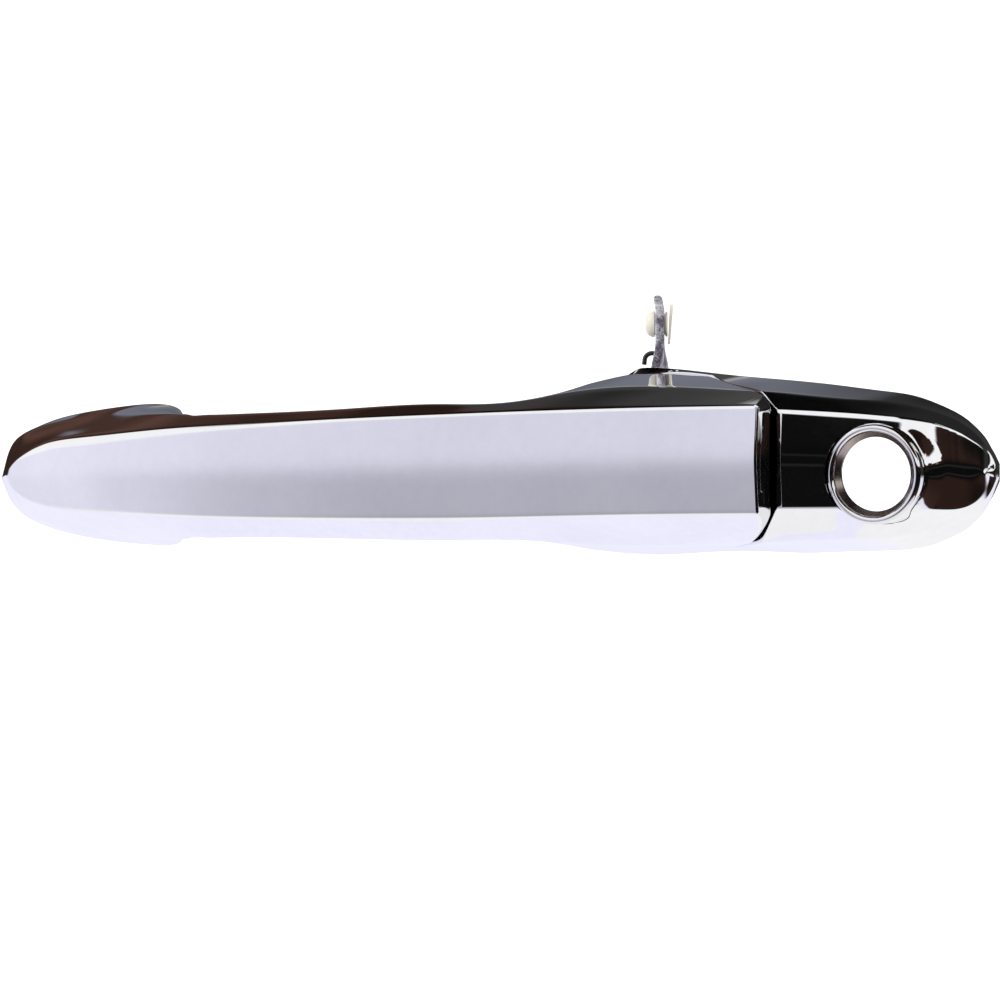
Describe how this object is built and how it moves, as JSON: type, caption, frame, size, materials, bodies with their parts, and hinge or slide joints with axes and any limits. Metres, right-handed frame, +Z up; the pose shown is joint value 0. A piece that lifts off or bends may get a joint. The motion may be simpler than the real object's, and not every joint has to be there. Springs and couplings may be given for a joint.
{
  "type": "car door handle",
  "caption": "Pull-type outside car door handle: a chromed grip hinged at one end, a fixed chromed cap with a key hole, and a release lever with a latch rod clip behind the door skin.",
  "frame": {"origin": "back face of the rear gasket, where it lies on the outside of the door skin, 200 mm from the grip's left tip", "axes": "+X along the handle towards the key hole, +Y into the door, +Z up"},
  "size_m": [0.252, 0.0751, 0.0588],
  "materials": {
    "chrome": "mirror chrome plate",
    "satin_nickel": "bright lip, satin cone",
    "black_nylon": "fine texture",
    "rubber": "matt",
    "zinc_plate": "zinc plated",
    "diecast": "as cast",
    "spring_steel": "oil blackened",
    "ivory_plastic": "natural acetal"
  },
  "bodies": {
    "base": {"rear_base": "chrome", "key_bezel": "satin_nickel", "rear_gasket": "rubber", "rear_stud_1": "zinc_plate", "rear_stud_2": "zinc_plate", "rear_washer_1": "zinc_plate", "rear_washer_2": "zinc_plate", "rear_nut_1": "zinc_plate", "rear_nut_2": "zinc_plate", "lever_bracket": "black_nylon", "bracket_screw_1": "zinc_plate", "bracket_screw_2": "zinc_plate", "lever_pin": "zinc_plate", "lever_pin_ring": "spring_steel", "grip_bumper": "rubber", "front_base": "black_nylon", "front_gasket": "rubber", "front_bracket": "diecast", "front_stud": "zinc_plate", "front_washer": "zinc_plate", "front_nut": "zinc_plate", "pivot_pin": "zinc_plate", "pivot_pin_ring": "spring_steel"},
    "grip": {"grip_cover": "chrome", "grip_back": "black_nylon", "grip_screw_1": "zinc_plate", "grip_screw_2": "zinc_plate", "pivot_arm": "diecast", "pull_arm": "diecast", "pull_buffer": "rubber"},
    "lever": {"release_lever": "zinc_plate", "lever_bush": "black_nylon", "lever_spring": "spring_steel"},
    "clip": {"rod_clip": "ivory_plastic"},
    "clip_latch": {"rod_clip_latch": "ivory_plastic"}
  },
  "joints": [
    {"name": "grip_swing", "type": "hinge", "parent": "base", "child": "grip", "pos_m": [-0.194, 0.006, -0.0025], "axis": [0, 0, -1], "range_deg": [0, 5.5]},
    {"name": "lever_swing", "type": "hinge", "parent": "base", "child": "lever", "pos_m": [-0.0404, 0.022, 0.014], "axis": [-1, 0, 0], "range_deg": [0, 41], "stiffness_Nm_per_rad": 0.15, "springref_deg": -34.38, "deforming": ["lever_spring"]},
    {"name": "rod_clip_swivel", "type": "hinge", "parent": "lever", "child": "clip", "pos_m": [-0.0404, 0.022, 0.033], "axis": [0.9205, 0.3907, 0], "range_deg": [-45, 45]},
    {"name": "clip_latch_hinge", "type": "hinge", "parent": "clip", "child": "clip_latch", "pos_m": [-0.03847, 0.02282, 0.0287], "axis": [-0.3907, 0.9205, 0], "range_deg": [0, 60]}
  ],
  "couplings": [
    {"joint": "lever_swing", "follows": "grip_swing", "ratio": 7.3273}
  ]
}
